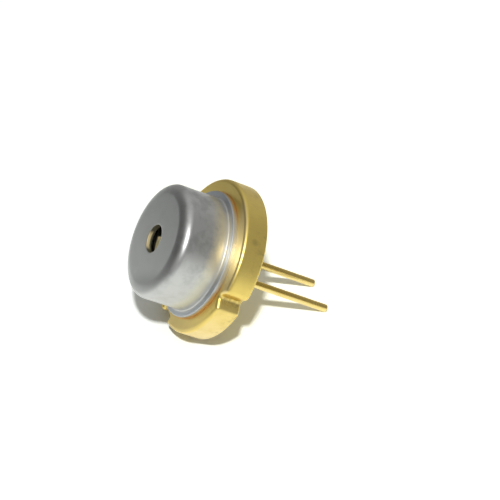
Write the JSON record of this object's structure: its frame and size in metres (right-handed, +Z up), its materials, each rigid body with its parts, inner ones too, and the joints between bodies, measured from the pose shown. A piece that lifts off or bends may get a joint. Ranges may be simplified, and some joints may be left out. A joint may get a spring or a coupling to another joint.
{
  "type": "laser diode",
  "caption": "Laser diode in a round metal can: a gold-plated stem with key notches in its rim, a cap with a small glass window, and straight round leads.",
  "frame": {"origin": "bottom centre of the bounding box, on the surface the diode lies on, resting on the stem's back edge and the tips of both leads", "axes": "+Z up; +Y from the window end towards the lead tips; X along the line through both leads, with the positive lead at -X. The light leaves towards -Y and upwards, 32.2 degrees above level"},
  "size_m": [0.009, 0.0112, 0.0087],
  "materials": {
    "stem_gold": "satin gold plating on steel",
    "lead_gold": "satin gold plating on drawn wire",
    "seal_glass": "dark fired glass",
    "cap_metal": "satin drawn sheet with a straw heat tint at the weld",
    "solder_glass": "dull solder glass",
    "window_glass": "clear polished glass",
    "braze_metal": "dull braze",
    "block_gold": "satin gold plating on copper",
    "solder_metal": "dull solder",
    "submount_ceramic": "lapped matte",
    "pad_gold": "thin gold film",
    "chip_crystal": "polished crystal",
    "diode_crystal": "polished crystal",
    "wire_gold": "bright drawn wire"
  },
  "bodies": {
    "root": {"stem_base": "stem_gold", "lead_positive": "lead_gold", "lead_negative": "lead_gold", "glass_seal_positive": "seal_glass", "glass_seal_negative": "seal_glass", "cap_shell": "cap_metal", "window_seal": "solder_glass", "window_glass": "window_glass", "block_braze": "braze_metal", "heatsink_block": "block_gold", "submount_solder": "solder_metal", "submount": "submount_ceramic", "chip_pad": "pad_gold", "wire_pad": "pad_gold", "chip_solder": "solder_metal", "laser_chip": "chip_crystal", "diode_solder": "solder_metal", "protection_diode": "diode_crystal", "chip_wires": "wire_gold", "diode_wire": "wire_gold", "lead_wires_positive": "wire_gold", "lead_wires_negative": "wire_gold"}
  },
  "joints": []
}
